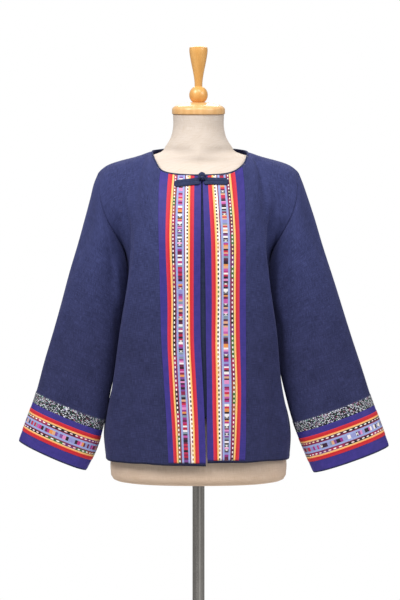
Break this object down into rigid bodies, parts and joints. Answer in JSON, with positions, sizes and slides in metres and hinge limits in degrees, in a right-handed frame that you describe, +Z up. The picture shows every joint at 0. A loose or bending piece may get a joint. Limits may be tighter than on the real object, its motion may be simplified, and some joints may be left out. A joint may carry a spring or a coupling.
{
  "type": "hmong embroidered jacket on a dress form",
  "caption": "Long-sleeved navy cloth jacket with woven ribbon bands down both fronts and round the cuffs, frog closure at the neck, worn on a limbless dress form with pole and round base.",
  "frame": {"origin": "centre of the round base's underside, on the floor", "axes": "+Z up along the pole, the jacket's front faces -Y, and the wearer's left is at +X"},
  "size_m": [0.732, 0.38, 1.5659],
  "materials": {
    "navy_cloth": "plain-woven navy cotton and linen cloth, matte",
    "violet_band": "violet woven cotton band",
    "woven_ribbon": "woven ribbon in red, yellow and lavender stripes with small colour blocks",
    "stitched_strip": "black ground with dense white and coloured stitching",
    "form_linen": "cream linen stretched over a smooth form",
    "turned_wood": "varnished pale wood, turned",
    "brushed_steel": "brushed steel tube",
    "dark_base": "satin dark paint"
  },
  "bodies": {
    "root": {"back": "navy_cloth", "front_left": "navy_cloth", "front_right": "navy_cloth", "front_underlap": "navy_cloth", "sleeve_left": "navy_cloth", "sleeve_right": "navy_cloth", "neck_piping": "navy_cloth", "frog_bar_left": "navy_cloth", "frog_bar_right": "navy_cloth", "frog_knot": "navy_cloth", "front_band_left": "violet_band", "front_band_right": "violet_band", "cuff_band_left": "violet_band", "cuff_band_right": "violet_band", "front_ribbon_left": "woven_ribbon", "front_ribbon_right": "woven_ribbon", "cuff_ribbon_left": "woven_ribbon", "cuff_ribbon_right": "woven_ribbon", "cuff_stitching_left": "stitched_strip", "cuff_stitching_right": "stitched_strip", "form_torso": "form_linen", "form_cap": "turned_wood", "form_handle": "turned_wood", "stand_pole": "brushed_steel", "stand_collar": "brushed_steel", "stand_base": "dark_base"}
  },
  "joints": []
}
